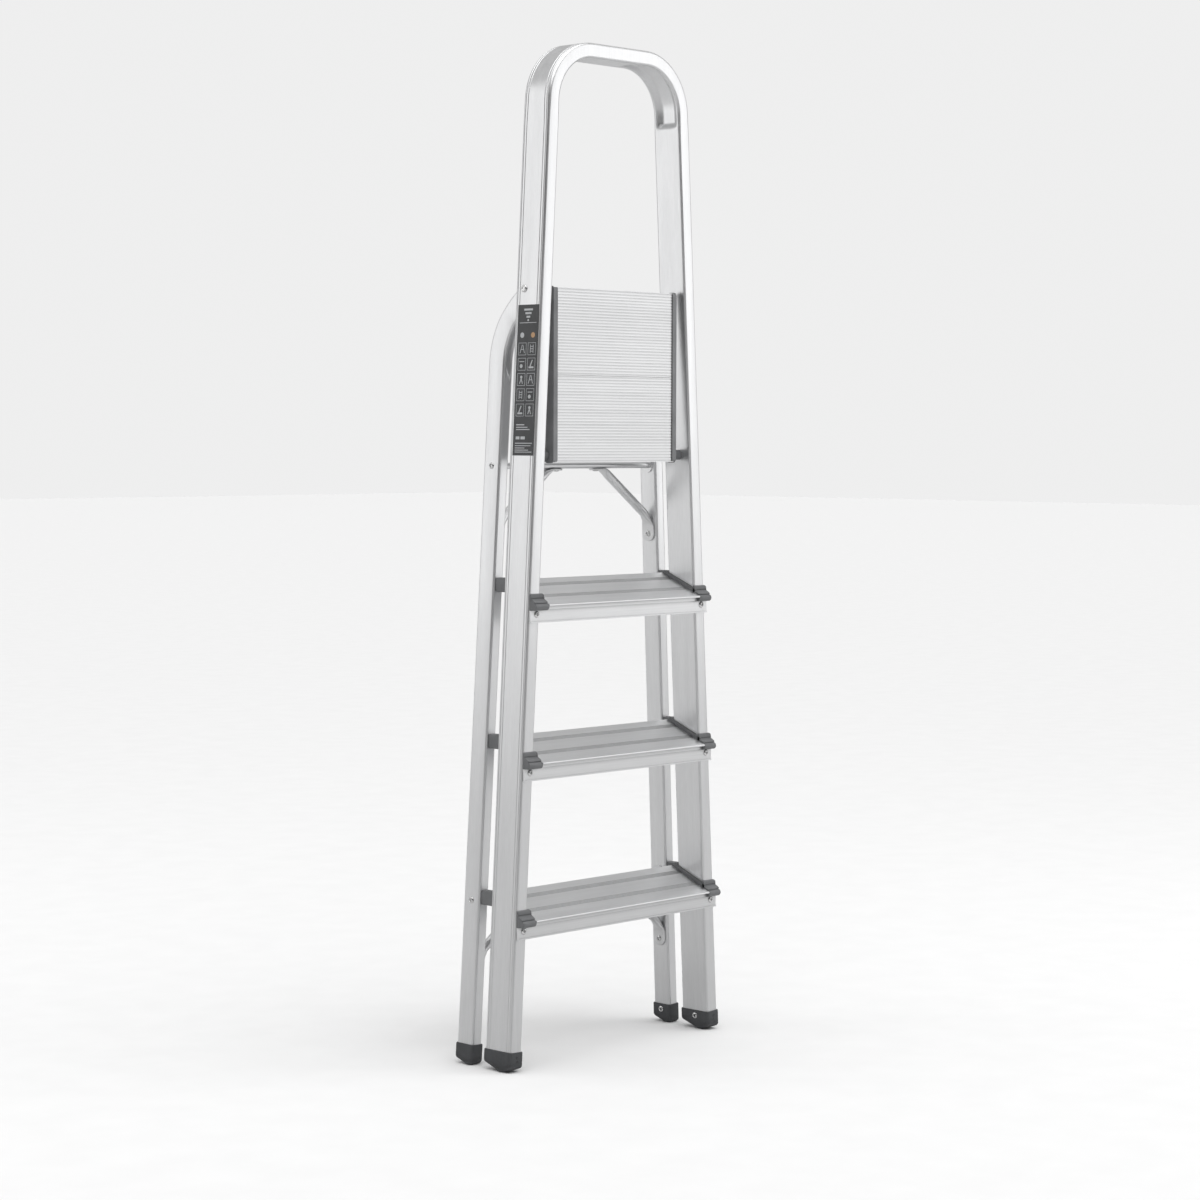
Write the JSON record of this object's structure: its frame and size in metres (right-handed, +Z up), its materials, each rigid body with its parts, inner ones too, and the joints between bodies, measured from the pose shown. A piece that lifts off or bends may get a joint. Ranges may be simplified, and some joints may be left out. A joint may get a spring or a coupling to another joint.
{
  "type": "step ladder",
  "caption": "Folding aluminium step ladder with a hooped handrail, tilted treads, a swing-down standing platform and a braced rear frame.",
  "frame": {"origin": "on the floor, in the middle of the folded ladder's footprint", "axes": "+Z up, +X to the climber's right, +Y from the treads' nosings towards the rear legs; drawn folded"},
  "size_m": [0.422, 0.1202, 1.37],
  "materials": {
    "frame_aluminium": "satin anodised",
    "tread_aluminium": "satin extruded",
    "plank_aluminium": "satin ribbed",
    "brace_aluminium": "satin",
    "rivet_steel": "bright",
    "screw_steel": "bright",
    "cap_plastic": "fine texture",
    "channel_plastic": "fine texture",
    "foot_plastic": "coarse texture",
    "label_film": "printed film"
  },
  "bodies": {
    "front": {"front_frame": "frame_aluminium", "top_tread": "tread_aluminium", "middle_tread": "tread_aluminium", "bottom_tread": "tread_aluminium", "top_cap_left": "cap_plastic", "top_cap_right": "cap_plastic", "middle_cap_left": "cap_plastic", "middle_cap_right": "cap_plastic", "bottom_cap_left": "cap_plastic", "bottom_cap_right": "cap_plastic", "apron_screws": "screw_steel", "side_label": "label_film", "front_foot_left": "foot_plastic", "front_foot_right": "foot_plastic", "front_foot_rivets": "rivet_steel", "hinge_rivets": "rivet_steel", "platform_pins": "rivet_steel", "platform_spacers": "cap_plastic"},
    "rear": {"rear_leg_left": "frame_aluminium", "rear_leg_right": "frame_aluminium", "upper_crossbar": "brace_aluminium", "lower_crossbar": "brace_aluminium", "crossbar_rivets": "rivet_steel", "upper_brace_left": "brace_aluminium", "upper_brace_right": "brace_aluminium", "lower_brace_left": "brace_aluminium", "lower_brace_right": "brace_aluminium", "brace_rivets": "rivet_steel", "rear_foot_left": "foot_plastic", "rear_foot_right": "foot_plastic", "rear_foot_rivets": "rivet_steel"},
    "platform": {"upper_plank": "plank_aluminium", "lower_plank": "plank_aluminium", "platform_channel_left": "channel_plastic", "platform_channel_right": "channel_plastic"}
  },
  "joints": [
    {"name": "rear_frame_hinge", "type": "hinge", "parent": "front", "child": "rear", "pos_m": [0, -0.01302, 1.0378], "axis": [1, 0, 0], "range_deg": [0, 37.35]},
    {"name": "platform_pivot", "type": "hinge", "parent": "front", "child": "platform", "pos_m": [0, -0.02412, 0.817], "axis": [-1, 0, 0], "range_deg": [0, 69.72]}
  ],
  "couplings": [
    {"joint": "platform_pivot", "follows": "rear_frame_hinge", "ratio": 1.8667}
  ]
}
